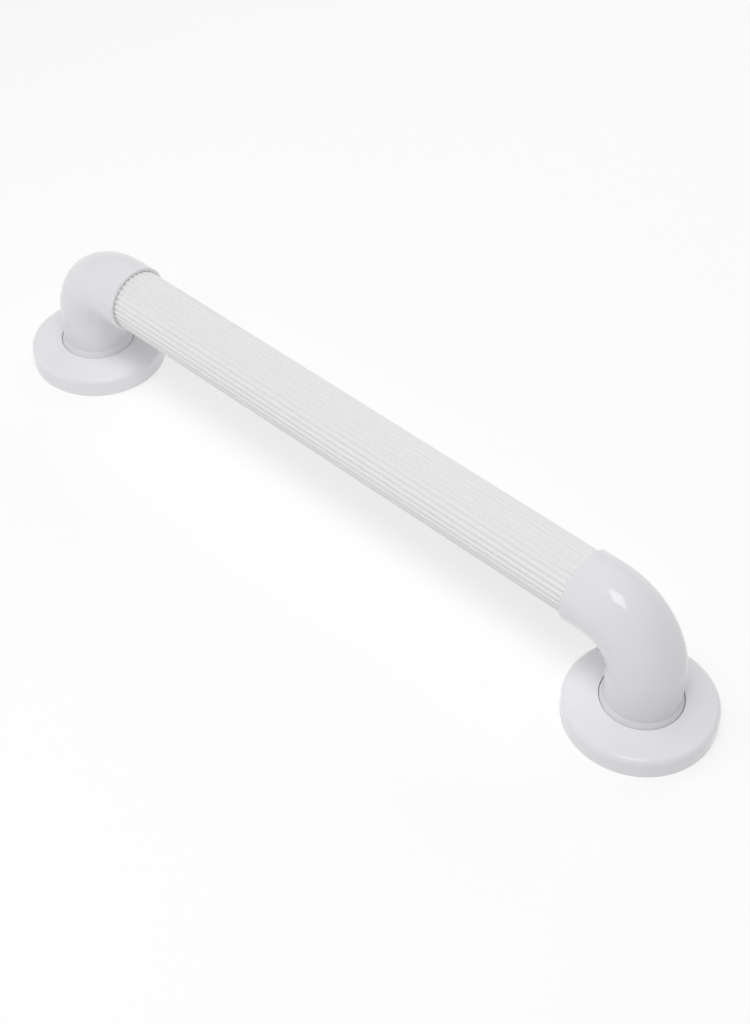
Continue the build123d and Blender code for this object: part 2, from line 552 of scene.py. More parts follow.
@dataclass(frozen=True)
class MouldedPolymer:
    """Finish of a moulded plastic or rubber piece."""

    name: str
    colour: tuple[float, float, float]
    shade: tuple[float, float, float]
    gloss_low: float
    gloss_high: float
    grain_scale: float
    grain_depth: float
    specular: float = 0.5

    def surface(self, wire: Wiring, vector: Socket) -> Node:
        """Places the shared surface group with this finish's values.

        Args:
            wire: Wiring of the material.
            vector: Coordinates to read.

        Returns:
            The group node.
        """
        node = wire.add("ShaderNodeGroup", node_tree=moulded_surface())
        wire.join(vector, node.inputs["Vector"])
        node.inputs["Colour"].default_value = (*self.colour, 1.0)
        node.inputs["Shade"].default_value = (*self.shade, 1.0)
        node.inputs["Gloss Low"].default_value = self.gloss_low
        node.inputs["Gloss High"].default_value = self.gloss_high
        node.inputs["Grain Scale"].default_value = self.grain_scale
        return node

    def begin(self) -> tuple[Material, Wiring, Node, Socket]:
        """Starts the material.

        Returns:
            The material, its wiring, its shader and the object coordinates.
        """
        material = bpy.data.materials.new(self.name)
        material.use_nodes = True
        wire = Wiring(material.node_tree)
        shader = material.node_tree.nodes["Principled BSDF"]
        shader.inputs["Specular IOR Level"].default_value = self.specular
        return material, wire, shader, wire.add("ShaderNodeTexCoord").outputs["Object"]

    def relief(self, wire: Wiring, shader: Node, height: Socket) -> None:
        """Feeds the shader's normal from a height.

        Args:
            wire: Wiring of the material.
            shader: Shader to feed.
            height: Height from 0 to about 1.
        """
        bump = wire.add("ShaderNodeBump")
        bump.inputs["Strength"].default_value = 1.0
        bump.inputs["Distance"].default_value = self.grain_depth
        wire.join(height, bump.inputs["Height"])
        wire.join(bump.outputs["Normal"], shader.inputs["Normal"])

    def material(self) -> Material:
        """Builds the material.

        Returns:
            A material that reads object coordinates.
        """
        material, wire, shader, vector = self.begin()
        surface = self.surface(wire, vector)
        wire.join(surface.outputs["Colour"], shader.inputs["Base Color"])
        wire.join(surface.outputs["Roughness"], shader.inputs["Roughness"])
        self.relief(wire, shader, surface.outputs["Height"])
        return material


def moulded_white(name: str, white: float) -> Material:
    """Cool white finish of the elbow and cover mouldings.

    Args:
        name: Name of the material.
        white: How white it is, from 0 to 1.

    Returns:
        The material, built on first use.
    """
    if name in bpy.data.materials:
        return bpy.data.materials[name]
    finish = MouldedPolymer(
        name=name,
        colour=(white, white, white * 1.026),
        shade=(white * 0.983, white * 0.983, white * 1.012),
        gloss_low=0.10,
        gloss_high=0.14,
        grain_scale=900.0,
        grain_depth=0.004 * MM,
        specular=0.35,
    )
    return finish.material()


@dataclass(frozen=True)
class FlutedPolymer(MouldedPolymer):
    """Extruded plastic whose crests are rubbed smoother than its grooves, and whose grooves are painted a
    little darker: dust and painted shade.
    """

    axis_height: float = 0.0
    groove_radius: float = 0.0
    crest_radius: float = 0.0
    # colour of the groove floors, a little darker than the crests: dust and painted shade
    groove_colour: tuple[float, float, float] = (0.7, 0.7, 0.7)
    groove_roughness: float = 0.1

    def material(self) -> Material:
        """Builds the material.

        Returns:
            A material that tells crest from groove by the distance from the grip's axis.
        """
        material, wire, shader, vector = self.begin()
        centred = wire.add("ShaderNodeMapping")
        centred.inputs["Location"].default_value = (0.0, 0.0, -self.axis_height)
        centred.inputs["Scale"].default_value = (0.0, 1.0, 1.0)
        wire.join(vector, centred.inputs["Vector"])
        length = wire.add("ShaderNodeVectorMath", operation="LENGTH")
        wire.join(centred.outputs["Vector"], length.inputs[0])
        crest = wire.add("ShaderNodeMapRange", interpolation_type="SMOOTHSTEP")
        crest.inputs["From Min"].default_value = self.groove_radius
        crest.inputs["From Max"].default_value = self.crest_radius
        wire.join(length.outputs["Value"], crest.inputs["Value"])
        groove = wire.math(1.0, crest.outputs["Result"], operation="SUBTRACT")

        surface = self.surface(wire, vector)
        # darker colour in the grooves: dust and painted shade
        colour = wire.tint(groove, surface.outputs["Colour"], self.groove_colour)
        wire.join(colour, shader.inputs["Base Color"])
        rubbed = wire.math(groove, self.groove_roughness, operation="MULTIPLY")
        wire.join(wire.math(surface.outputs["Roughness"], rubbed), shader.inputs["Roughness"])
        self.relief(wire, shader, surface.outputs["Height"])
        return material


@dataclass(frozen=True)
class BareMetal:
    """Finish of a drawn or turned metal piece."""

    name: str
    colour: tuple[float, float, float]
    dull: tuple[float, float, float]
    stretch: tuple[float, float, float]
    line_scale: float
    gloss_low: float
    gloss_high: float
    line_depth: float

    def material(self) -> Material:
        """Builds the material.

        Returns:
            A metal with fine lines along the direction that stretch leaves long.
        """
        material = bpy.data.materials.new(self.name)
        material.use_nodes = True
        wire = Wiring(material.node_tree)
        shader = material.node_tree.nodes["Principled BSDF"]
        shader.inputs["Metallic"].default_value = 1.0
        mapping = wire.add("ShaderNodeMapping")
        mapping.inputs["Scale"].default_value = self.stretch
        wire.join(wire.add("ShaderNodeTexCoord").outputs["Object"], mapping.inputs["Vector"])
        marks = wire.add("ShaderNodeGroup", node_tree=drawn_marks())
        wire.join(mapping.outputs["Vector"], marks.inputs["Vector"])
        marks.inputs["Line Scale"].default_value = self.line_scale
        marks.inputs["Gloss Low"].default_value = self.gloss_low
        marks.inputs["Gloss High"].default_value = self.gloss_high
        wire.join(wire.tint(marks.outputs["Mask"], self.colour, self.dull), shader.inputs["Base Color"])
        wire.join(marks.outputs["Roughness"], shader.inputs["Roughness"])
        bump = wire.add("ShaderNodeBump")
        bump.inputs["Distance"].default_value = self.line_depth
        wire.join(marks.outputs["Height"], bump.inputs["Height"])
        wire.join(bump.outputs["Normal"], shader.inputs["Normal"])
        return material


# ---------------------------------------------------------------------------
# Grip
# ---------------------------------------------------------------------------


@dataclass(frozen=True)
class FlutedGrip:
    """Extruded grip: round ribs side by side with a small radius in every groove."""

    sizes: RailSizes
    ribs: int = 34
    rib_radius: float = 1.5 * MM
    groove_radius: float = 0.8 * MM
    sides_per_rib: int = 16
    core_clearance: float = 0.1 * MM
    end_chamfer: float = 0.25 * MM
    runs: int = 12
    crease_degrees: float = 40.0

    def rib_centre(self) -> float:
        """Distance from the grip's axis to the middle of a rib's arc."""
        return self.sizes.grip_radius - self.rib_radius

    def groove_centre(self) -> float:
        """Distance from the grip's axis to the middle of a groove's arc."""
        half = math.pi / self.ribs
        span = self.rib_radius + self.groove_radius
        along = self.rib_centre() * math.cos(half)
        return along + math.sqrt(span**2 - (self.rib_centre() * math.sin(half)) ** 2)

    def groove_floor(self) -> float:
        """Distance from the grip's axis to the bottom of a groove."""
        return self.groove_centre() - self.groove_radius

    def outline(self, angle: float) -> float:
        """Radius of the fluted outline.

        Args:
            angle: Angle about the grip's axis from the rib along its top, in radians.

        Returns:
            Distance of the surface from the axis.
        """
        half = math.pi / self.ribs
        off_crest = abs((angle + half) % (2 * half) - half)
        centre, deep = self.rib_centre(), self.groove_centre()
        share = self.rib_radius / (self.rib_radius + self.groove_radius)
        touch = math.atan2(
            share * deep * math.sin(half), centre + share * (deep * math.cos(half) - centre)
        )
        if off_crest <= touch:
            side = centre * math.sin(off_crest)
            return centre * math.cos(off_crest) + math.sqrt(self.rib_radius**2 - side**2)
        off_groove = half - off_crest
        side = deep * math.sin(off_groove)
        return deep * math.cos(off_groove) - math.sqrt(self.groove_radius**2 - side**2)

    def section(self, x: float, radius: float) -> Station:
        """Round section of the grip at x."""
        return Station(Vector((x, 0.0, self.sizes.axis_height)), Vector((1.0, 0.0, 0.0)), radius)

    def fit_ring(self, skin: Skin, outline: Callable[[float], float], inset: float = 0.0) -> None:
        """Moves the last ring's vertices out or in to an outline.

        Args:
            skin: Skin whose last ring is moved.
            outline: Gives the radius for an angle from the rib along the top.
            inset: How far inside the outline the ring lies.
        """
        axis = Vector((0.0, 0.0, self.sizes.axis_height))
        for vert in skin.verts:
            arm = vert.co - axis
            arm.x = 0.0
            wanted = outline(math.atan2(arm.y, arm.z)) - inset
            vert.co += arm.normalized() * (wanted - arm.length)

    def build(self) -> Piece:
        """Builds the grip.

        Returns:
            The grip as one closed piece.
        """
        mesh = bmesh.new()
        end = self.sizes.grip_half_length
        bore = self.sizes.core_radius + self.core_clearance
        crest = self.sizes.grip_radius
        skin = Skin(mesh, self.section(-end, bore), self.ribs * self.sides_per_rib)
        outer = [(-end, self.end_chamfer), (self.end_chamfer - end, 0.0)]
        outer += [(x, 0.0) for x in steps(self.runs, self.end_chamfer - end, end - self.end_chamfer)]
        outer += [(end, self.end_chamfer)]
        for x, inset in outer:
            skin.grow([self.section(x, crest)])
            self.fit_ring(skin, self.outline, inset)
        skin.grow([self.section(end, crest)])
        self.fit_ring(skin, lambda _: bore)
        skin.station = self.section(end, bore)
        skin.grow(self.section(x, bore) for x in steps(self.runs, end, -end)[:-1])
        skin.join_ends()
        piece = finish_mesh(mesh, "fluted_grip", self.crease_degrees)
        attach(piece, Body.RAIL.value)
        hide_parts("fluted_grip_tube")
        return piece

    def dress(self, piece: Piece) -> None:
        """Gives the grip its neutral white finish."""
        finish = FlutedPolymer(
            name="grip_white",
            colour=(0.78, 0.78, 0.778),
            shade=(0.768, 0.768, 0.766),
            gloss_low=0.34,
            gloss_high=0.44,
            grain_scale=1400.0,
            grain_depth=0.012 * MM,
            axis_height=self.sizes.axis_height,
            groove_radius=self.groove_floor(),
            crest_radius=self.sizes.grip_radius,
            # grooves a little darker than the crests: dust and painted shade
            groove_colour=(0.765, 0.765, 0.762),
        )
        piece.data.materials.append(finish.material())


# ---------------------------------------------------------------------------
# Elbow
# ---------------------------------------------------------------------------


@dataclass(frozen=True)
class JointRecess:
    """Stepped hole that takes a joint screw through the side of the collar."""

    head_height: float = 2.4 * MM
    head_radius: float = 3.7 * MM
    shank_radius: float = 2.1 * MM
    overrun: float = 1.0 * MM
    sides: int = 40

    def cutter(self, x: float, seat: float, outside: float, inside: float, height: float) -> Piece:
        """Builds the stepped cutter.

        Args:
            x: Where the hole's axis crosses the rail.
            seat: Distance of the screw head's seat from the rail's axis.
            outside: Distance of the elbow's surface from the rail's axis.
            inside: Distance that the shank's hole starts at.
            height: Height of the rail's axis.

        Returns:
            A closed shape to cut with.
        """
        mesh = bmesh.new()

        def section(y: float, radius: float) -> Station:
            """Section of the cutter at a distance from the rail's axis."""
            return Station(
                Vector((x, y, height)), Vector((0.0, 1.0, 0.0)), radius, Vector((1.0, 0.0, 0.0))
            )

        skin = Skin(mesh, section(inside, self.shank_radius), self.sides)
        skin.cap()
        skin.grow(
            [
                section(seat, self.shank_radius),
                section(seat, self.head_radius),
                section(outside + self.overrun, self.head_radius),
            ]
        ).cap()
        return finish_mesh(mesh, "joint_recess_cutter")


@dataclass(frozen=True)
class Elbow:
    """Hollow elbow moulding, from the collar's rim down to the screw flange."""

    sizes: RailSizes
    side: Side
    recess: JointRecess = JointRecess()
    sides: int = 128
    bend_radius: float = 30.0 * MM
    collar_depth: float = 11.0 * MM
    collar_clearance: float = 0.05 * MM
    core_clearance: float = 0.1 * MM
    core_seat: float = 2.5 * MM
    rim_round: float = 0.9 * MM
    lead_in: float = 0.03 * MM
    leg_wall: float = 4.0 * MM
    hollow_turn: float = math.radians(80.0)
    boss_step: float = 1.5 * MM
    boss_height: float = 13.6 * MM
    flare_rise: float = 3.6 * MM
    flange_top: float = 7.0 * MM
    flange_edge: float = 1.2 * MM
    flange_round: float = 0.5 * MM
    bead_radius: float = 0.6 * MM
    bead_height: float = 5.6 * MM
    recess_lip: float = 0.9 * MM
    screws: int = 3
    screw_first: float = 90.0
    screw_circle: float = 29.0 * MM
    hole_radius: float = 2.75 * MM
    sink_radius: float = 5.25 * MM
    gussets: int = 6
    gusset_width: float = 1.6 * MM
    gusset_reach: float = 5.2 * MM
    gusset_rise: float = 3.8 * MM
    overlap: float = 1.0 * MM
    crease_degrees: float = 20.0
    leg_steps: int = 4
    bend_steps: int = 40
    hollow_steps: int = 24
    round_steps: int = 6
    bead_steps: int = 12
    hole_sides: int = 48

    @property
    def boss_radius(self) -> float:
        """Radius of the boss under the flare."""
        return self.sizes.elbow_radius + self.boss_step

    @property
    def flange_radius(self) -> float:
        """Radius of the flange without its bead."""
        return self.sizes.gasket_radius + self.flange_edge

    @property
    def bend_height(self) -> float:
        """Height at which the leg turns into the bend."""
        return self.sizes.axis_height - self.bend_radius

    def foot(self, height: float, radius: float) -> Station:
        """Level section on the foot's axis."""
        return Station(
            Vector((self.side.value * self.sizes.foot_x, 0.0, height)), Vector((0.0, 0.0, 1.0)), radius
        )

    def turn(self, angle: float, radius: float) -> Station:
        """Section of the bend.

        Args:
            angle: How far the bend has turned, in radians.
            radius: Radius of the section.

        Returns:
            The section, facing along the bend.
        """
        reach = self.bend_radius * (1 - math.cos(angle))
        centre = Vector(
            (
                self.side.value * (self.sizes.foot_x - reach),
                0.0,
                self.bend_height + self.bend_radius * math.sin(angle),
            )
        )
        facing = Vector((-self.side.value * math.sin(angle), 0.0, math.cos(angle)))
        return Station(centre, facing, radius)

    def collar(self, reach: float, radius: float) -> Station:
        """Upright section of the collar.

        Args:
            reach: Distance from the foot's axis towards the middle of the rail.
            radius: Radius of the section.

        Returns:
            The section, facing the middle of the rail.
        """
        centre = Vector((self.side.value * (self.sizes.foot_x - reach), 0.0, self.sizes.axis_height))
        return Station(centre, Vector((-float(self.side.value), 0.0, 0.0)), radius)

    def outer_run(self) -> list[Station]:
        """Sections of the outside, from the foot of the boss to the rim's flat face."""
        radius, rim = self.sizes.elbow_radius, self.sizes.rim_reach
        flare_top = self.boss_height + self.flare_rise
        run = [self.foot(self.boss_height, self.boss_radius)]
        for share in steps(self.round_steps, 0.0, 1.0):
            height = self.boss_height + self.flare_rise * share
            run.append(self.foot(height, radius + self.boss_step * (1 - share)))
        run += [self.foot(height, radius) for height in steps(self.leg_steps, flare_top, self.bend_height)]
        run += [self.turn(angle, radius) for angle in steps(self.bend_steps, 0.0, QUARTER_TURN)]
        collar = steps(self.leg_steps, self.bend_radius, rim - self.rim_round)
        run += [self.collar(reach, radius) for reach in collar]
        middle = (radius - self.rim_round, rim - self.rim_round)
        rounding = arc_points(self.round_steps, 0.0, QUARTER_TURN, middle, self.rim_round)
        return run + [self.collar(reach, out) for out, reach in rounding]

    def inner_run(self) -> list[Station]:
        """Sections of the inside, from the rim down to the floor of the gasket's recess."""
        rim, bottom = self.sizes.rim_reach, self.sizes.flange_bottom
        bore = self.sizes.grip_radius + self.collar_clearance
        seat = self.sizes.core_radius + self.core_clearance
        hollow = self.sizes.elbow_radius - self.leg_wall
        shoulder = rim - self.collar_depth
        run = [
            self.collar(rim, bore + self.lead_in),
            self.collar(rim - self.lead_in, bore),
            self.collar(shoulder, bore),
            self.collar(shoulder, seat),
            self.collar(shoulder - self.core_seat, seat),
            self.turn(self.hollow_turn, hollow),
        ]
        run += [self.turn(angle, hollow) for angle in steps(self.hollow_steps, self.hollow_turn, 0.0)]
        run += [
            self.foot(bottom, hollow),
            self.foot(bottom, hollow + self.recess_lip),
            self.foot(self.sizes.gasket_top, hollow + self.recess_lip),
        ]
        return run

    def edge_run(self) -> list[Station]:
        """Sections of the flange's edge, from its recess round the bead to its top."""
        radius, bottom = self.flange_radius, self.sizes.flange_bottom
        run = [
            self.foot(bottom, radius - self.recess_lip),
            self.foot(bottom, radius),
            self.foot(self.bead_height - self.bead_radius, radius),
        ]
        middle = (radius, self.bead_height)
        edge = arc_points(self.bead_steps, -QUARTER_TURN, QUARTER_TURN, middle, self.bead_radius)
        middle = (radius - self.flange_round, self.flange_top - self.flange_round)
        edge += arc_points(self.round_steps, 0.0, QUARTER_TURN, middle, self.flange_round)
        return run + [self.foot(height, out) for out, height in edge]

    def screw_holes(self, mesh: BMesh) -> tuple[list[BMEdge], list[BMEdge]]:
        """Adds the walls of the countersunk holes.

        Args:
            mesh: Mesh to add to.

        Returns:
            The edges of the holes in the flange's top and in its underside.
        """
        top: list[BMEdge] = []
        under: list[BMEdge] = []
        sink = self.sink_radius - self.hole_radius
        for degrees in evenly_spaced(self.screws, self.screw_first):
            angle = self.side.angle(degrees)
            x = self.side.value * self.sizes.foot_x + self.screw_circle * math.cos(angle)
            y = self.screw_circle * math.sin(angle)
            levels = (
                (self.flange_top, self.sink_radius),
                (self.flange_top - sink, self.hole_radius),
                (self.sizes.gasket_top, self.hole_radius),
            )
            stations = [
                Station(Vector((x, y, height)), Vector((0.0, 0.0, 1.0)), radius)
                for height, radius in levels
            ]
            skin = Skin(mesh, stations[0], self.hole_sides).grow(stations[1:])
            top += skin.first
            under += skin.edges
        return top, under

    def add_gussets(self, piece: Piece) -> None:
        """Adds the small webs between the boss and the flange.

        Args:
            piece: Elbow to add them to.
        """
        low, high = self.flange_top, self.flange_top + self.gusset_rise
        inside, outside = self.boss_radius - self.overlap, self.boss_radius + self.gusset_reach
        outline = (
            (inside, low - self.overlap),
            (outside, low - self.overlap),
            (outside, low),
            (self.boss_radius, high),
            (inside, high),
        )
        mesh = bmesh.new()
        for degrees in evenly_spaced(self.gussets):
            place = radial_frame(self.side.value * self.sizes.foot_x, self.side.angle(degrees))
            add_prism(mesh, outline, place, self.gusset_width)
        webs = finish_mesh(mesh, "gussets")
        joined = bmesh.new()
        joined.from_mesh(piece.data)
        joined.from_mesh(webs.data)
        joined.to_mesh(piece.data)
        joined.free()
        bpy.data.objects.remove(webs)

    def build(self) -> Piece:
        """Builds the elbow.

        Returns:
            The elbow as one piece.
        """
        mesh = bmesh.new()
        skin = Skin(mesh, self.foot(self.flange_top, self.boss_radius), self.sides)
        skin.grow(self.outer_run()).grow(self.inner_run())
        rim = Skin(mesh, self.foot(self.sizes.gasket_top, self.flange_radius - self.recess_lip), self.sides)
        rim.grow(self.edge_run())
        top, under = self.screw_holes(mesh)
        for loops in (skin.first + rim.edges + top, skin.edges + rim.first + under):
            bmesh.ops.triangle_fill(mesh, use_beauty=True, edges=loops, normal=(0.0, 0.0, 1.0))
        piece = finish_mesh(mesh, f"{self.side.prefix}_elbow_moulding", self.crease_degrees)
        sizes = self.sizes
        cutter = self.recess.cutter(
            self.side.value * (sizes.foot_x - sizes.screw_reach),
            sizes.screw_seat,
            sizes.elbow_radius,
            sizes.core_radius - self.overlap,
            sizes.axis_height,
        )
        cut_away(piece, cutter)
        self.add_gussets(piece)
        even_shading(piece)
        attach(piece, Body.RAIL.value)
        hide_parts(f"{self.side.prefix}_elbow")
        return piece

    def dress(self, piece: Piece) -> None:
        """Gives the elbow its cool white finish."""
        piece.data.materials.clear()
        piece.data.materials.append(moulded_white("elbow_white", 0.744))


# ---------------------------------------------------------------------------
# Flange cover
# ---------------------------------------------------------------------------


@dataclass(frozen=True)
class FlangeCover:
    """Shallow domed ring that hides the flange and its screws."""

    sizes: RailSizes
    side: Side
    sides: int = 160
    wall: float = 2.2 * MM
    bore_radius: float = 21.25 * MM
    edge_height: float = 11.5 * MM
    crown: float = 0.25 * MM
    shoulder: float = 3.0 * MM
    bore_round: float = 0.15 * MM
    foot_round: float = 0.25 * MM
    ribs: int = 6
    first_rib: float = 15.0
    rib_width: float = 1.4 * MM
    rib_inset: float = 2.6 * MM
    rib_bottom: float = 7.0 * MM
    bump_width: float = 8.0 * MM
    bump_bottom: float = 3.4 * MM
    bump_height: float = 1.2 * MM
    bump_inner: float = 35.9 * MM
    join: float = 0.4 * MM
    side_steps: int = 2
    arc_steps: int = 12
    edge_steps: int = 5

    @property
    def slope(self) -> float:
        """Angle at which the top falls from the bore to the side."""
        return math.atan2(
            self.sizes.cover_height - self.edge_height, self.sizes.cover_radius - self.bore_radius
        )

    def level(self, height: float, radius: float) -> Station:
        """Level section on the foot's axis."""
        return Station(
            Vector((self.side.value * self.sizes.foot_x, 0.0, height)), Vector((0.0, 0.0, 1.0)), radius
        )

    def crown_at(self, share: float) -> float:
        """Extra height of the bowed top at a share of its run."""
        return 4 * self.crown * share * (1 - share)

    def section(self) -> list[Station]:
        """Sections of the closed ring, from the foot of the side up over the top and back inside."""
        sizes, slope = self.sizes, self.slope
        outer, inner, bottom = sizes.cover_radius, sizes.cover_radius - self.wall, sizes.cover_bottom
        reach = self.shoulder * math.tan((QUARTER_TURN - slope) / 2)
        centre_height = self.edge_height - reach
        run = [self.level(bottom + self.foot_round, outer)]
        side = steps(self.side_steps, bottom + self.foot_round, centre_height)
        run += [self.level(height, outer) for height in side]
        middle = (outer - self.shoulder, centre_height)
        shoulder = arc_points(self.arc_steps, 0.0, QUARTER_TURN - slope, middle, self.shoulder)
        run += [self.level(height, out) for out, height in shoulder]
        start, end = run[-1].radius, self.bore_radius + self.bore_round
        start_height, end_height = run[-1].centre.z, sizes.cover_height
        for share in steps(self.arc_steps, 0.0, 1.0):
            run.append(
                self.level(
                    start_height + (end_height - start_height) * share + self.crown_at(share),
                    start + (end - start) * share,
                )
            )
        middle = (end, end_height - self.bore_round)
        edge = arc_points(self.edge_steps, QUARTER_TURN, 2 * QUARTER_TURN, middle, self.bore_round)
        run += [self.level(height, out) for out, height in edge]
        inside_top = self.edge_height - self.wall
        return run + [
            self.level(sizes.cover_height - self.wall, self.bore_radius),
            self.level(inside_top, inner),
            self.level(bottom + self.foot_round, inner),
            self.level(bottom, inner + self.foot_round),
            self.level(bottom, outer - self.foot_round),
        ]

    def add_ribs(self, mesh: BMesh) -> None:
        """Adds the stiffening ribs under the top and the bumps on the inner wall.

        Args:
            mesh: Mesh to add to.
        """
        inner = self.sizes.cover_radius - self.wall
        rib = (
            (self.bore_radius + self.rib_inset, self.rib_bottom),
            (inner + self.join, self.rib_bottom),
            (inner + self.join, self.edge_height - self.wall / 2),
            (self.bore_radius + self.rib_inset, self.sizes.cover_height - self.wall / 2 - self.join),
        )
        bump = (
            (self.bump_inner, self.bump_bottom),
            (inner + self.join, self.bump_bottom),
            (inner + self.join, self.bump_bottom + self.bump_height),
            (self.bump_inner, self.bump_bottom + self.bump_height),
        )
        for degrees in evenly_spaced(self.ribs, self.first_rib):
            place = radial_frame(self.side.value * self.sizes.foot_x, self.side.angle(degrees))
            add_prism(mesh, rib, place, self.rib_width)
            add_prism(mesh, bump, place, self.bump_width)

    def build(self) -> Piece:
        """Builds the cover.

        Returns:
            The cover as one piece that rides on its own body.
        """
        mesh = bmesh.new()
        run = self.section()
        Skin(mesh, run[0], self.sides).grow(run[1:]).join_ends()
        self.add_ribs(mesh)
        piece = finish_mesh(mesh, f"{self.side.prefix}_cover_moulding")
        even_shading(piece)
        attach(piece, self.side.cover.value)
        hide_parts(f"{self.side.prefix}_flange_cover")
        return piece

    def dress(self, piece: Piece) -> None:
        """Gives the cover its cool white finish, a little lighter than the elbow's."""
        piece.data.materials.clear()
        piece.data.materials.append(moulded_white("cover_white", 0.784))


# ---------------------------------------------------------------------------
# Pieces that keep their CAD shape
# ---------------------------------------------------------------------------


@dataclass(frozen=True)
class Fittings:
    """Core tube, gaskets, seals and screws, which keep their CAD shape."""

    nodes: dict[str, Piece]

    def finishes(self) -> dict[str, BareMetal | MouldedPolymer]:
        """Finish of each node, by the end of its name."""
        gasket = MouldedPolymer(
            name="gasket_black",
            colour=(0.030, 0.030, 0.032),
            shade=(0.045, 0.045, 0.046),
            gloss_low=0.62,
            gloss_high=0.80,
            grain_scale=1800.0,
            grain_depth=0.03 * MM,
            specular=0.35,
        )
        seal = MouldedPolymer(
            name="seal_grey",
            colour=(0.055, 0.055, 0.058),
            shade=(0.040, 0.040, 0.042),
            gloss_low=0.55,
            gloss_high=0.72,
            grain_scale=2400.0,
            grain_depth=0.02 * MM,
            specular=0.4,
        )
        core = BareMetal(
            name="drawn_aluminium",
            colour=(0.80, 0.80, 0.81),
            dull=(0.66, 0.66, 0.68),
            stretch=(0.02, 1.0, 1.0),
            line_scale=2600.0,
            gloss_low=0.28,
            gloss_high=0.46,
            line_depth=0.01 * MM,
        )
        steel = BareMetal(
            name="turned_steel",
            colour=(0.62, 0.62, 0.63),
            dull=(0.48, 0.48, 0.50),
            stretch=(1.0, 0.1, 1.0),
            line_scale=3000.0,
            gloss_low=0.22,
            gloss_high=0.36,
            line_depth=0.01 * MM,
        )
        return {"base_gasket": gasket, "tube_end_seal": seal, "core_tube": core, "joint_screw": steel}

    def dress(self) -> list[str]:
        """Assigns the finishes.

        Returns:
            Names of the nodes that were dressed.
        """
        done: list[str] = []
        for ending, finish in self.finishes().items():
            material = finish.material()
            for name in sorted(self.nodes):
                if name.endswith(ending):
                    self.nodes[name].material_slots[0].material = material
                    done.append(name)
        return done


# ---------------------------------------------------------------------------
# Studio
# ---------------------------------------------------------------------------


def bearing_vector(bearing: float, height: float) -> Vector:
    """Direction from the object.

    Args:
        bearing: Degrees round from the front, towards the right foot.
        height: Degrees above the wall plane.

    Returns:
        A unit vector.
    """
    turn, rise = math.radians(bearing), math.radians(height)
    return Vector((math.sin(turn) * math.cos(rise), -math.cos(turn) * math.cos(rise), math.sin(rise)))


@dataclass(frozen=True)
class Viewpoint:
    """Camera placed by its bearing from a point on the object."""

    target: tuple[float, float, float] = (-20.51 * MM, 48.08 * MM, -47.39 * MM)
    azimuth: float = 42.345
    elevation: float = 45.602
    roll: float = 0.363
    distance: float = 1038.83 * MM
    focal_length: float = 62.474
    film_size: float = 36.0

    def build(self) -> Piece:
        """Places the camera and makes it the scene's.

        Returns:
            The camera object.
        """
        back = bearing_vector(self.azimuth, self.elevation)
        data = bpy.data.cameras.new("studio_camera")
        data.lens = self.focal_length
        data.sensor_width = self.film_size
        data.clip_start = 0.01
        camera = bpy.data.objects.new("studio_camera", data)
        aim = back.to_track_quat("Z", "Y").to_matrix().to_4x4()
        twist = Matrix.Rotation(math.radians(self.roll), 4, "Z")
        place = Matrix.Translation(Vector(self.target) + back * self.distance)
        camera.matrix_world = place @ aim @ twist
        bpy.context.scene.collection.objects.link(camera)
        bpy.context.scene.camera = camera
        return camera


@dataclass(frozen=True)
class Softbox:
    """Rectangular soft light; only one that glints shows in the gloss."""

    name: str
    place: tuple[float, float, float]
    power: float
    aim: tuple[float, float, float] = (0.0, 0.0, 0.05)
    size: tuple[float, float] = (0.5, 0.5)
    glints: bool = False

    def build(self) -> Piece:
        """Places the light.

        Returns:
            The light object.
        """
        data = bpy.data.lights.new(self.name, "AREA")
        data.shape = "RECTANGLE"
        data.size, data.size_y = self.size
        data.energy = self.power
        light = bpy.data.objects.new(self.name, data)
        away = Vector(self.place) - Vector(self.aim)
        face = away.to_track_quat("Z", "Y").to_matrix().to_4x4()
        light.matrix_world = Matrix.Translation(self.place) @ face
        light.visible_glossy = self.glints
        bpy.context.scene.collection.objects.link(light)
        return light


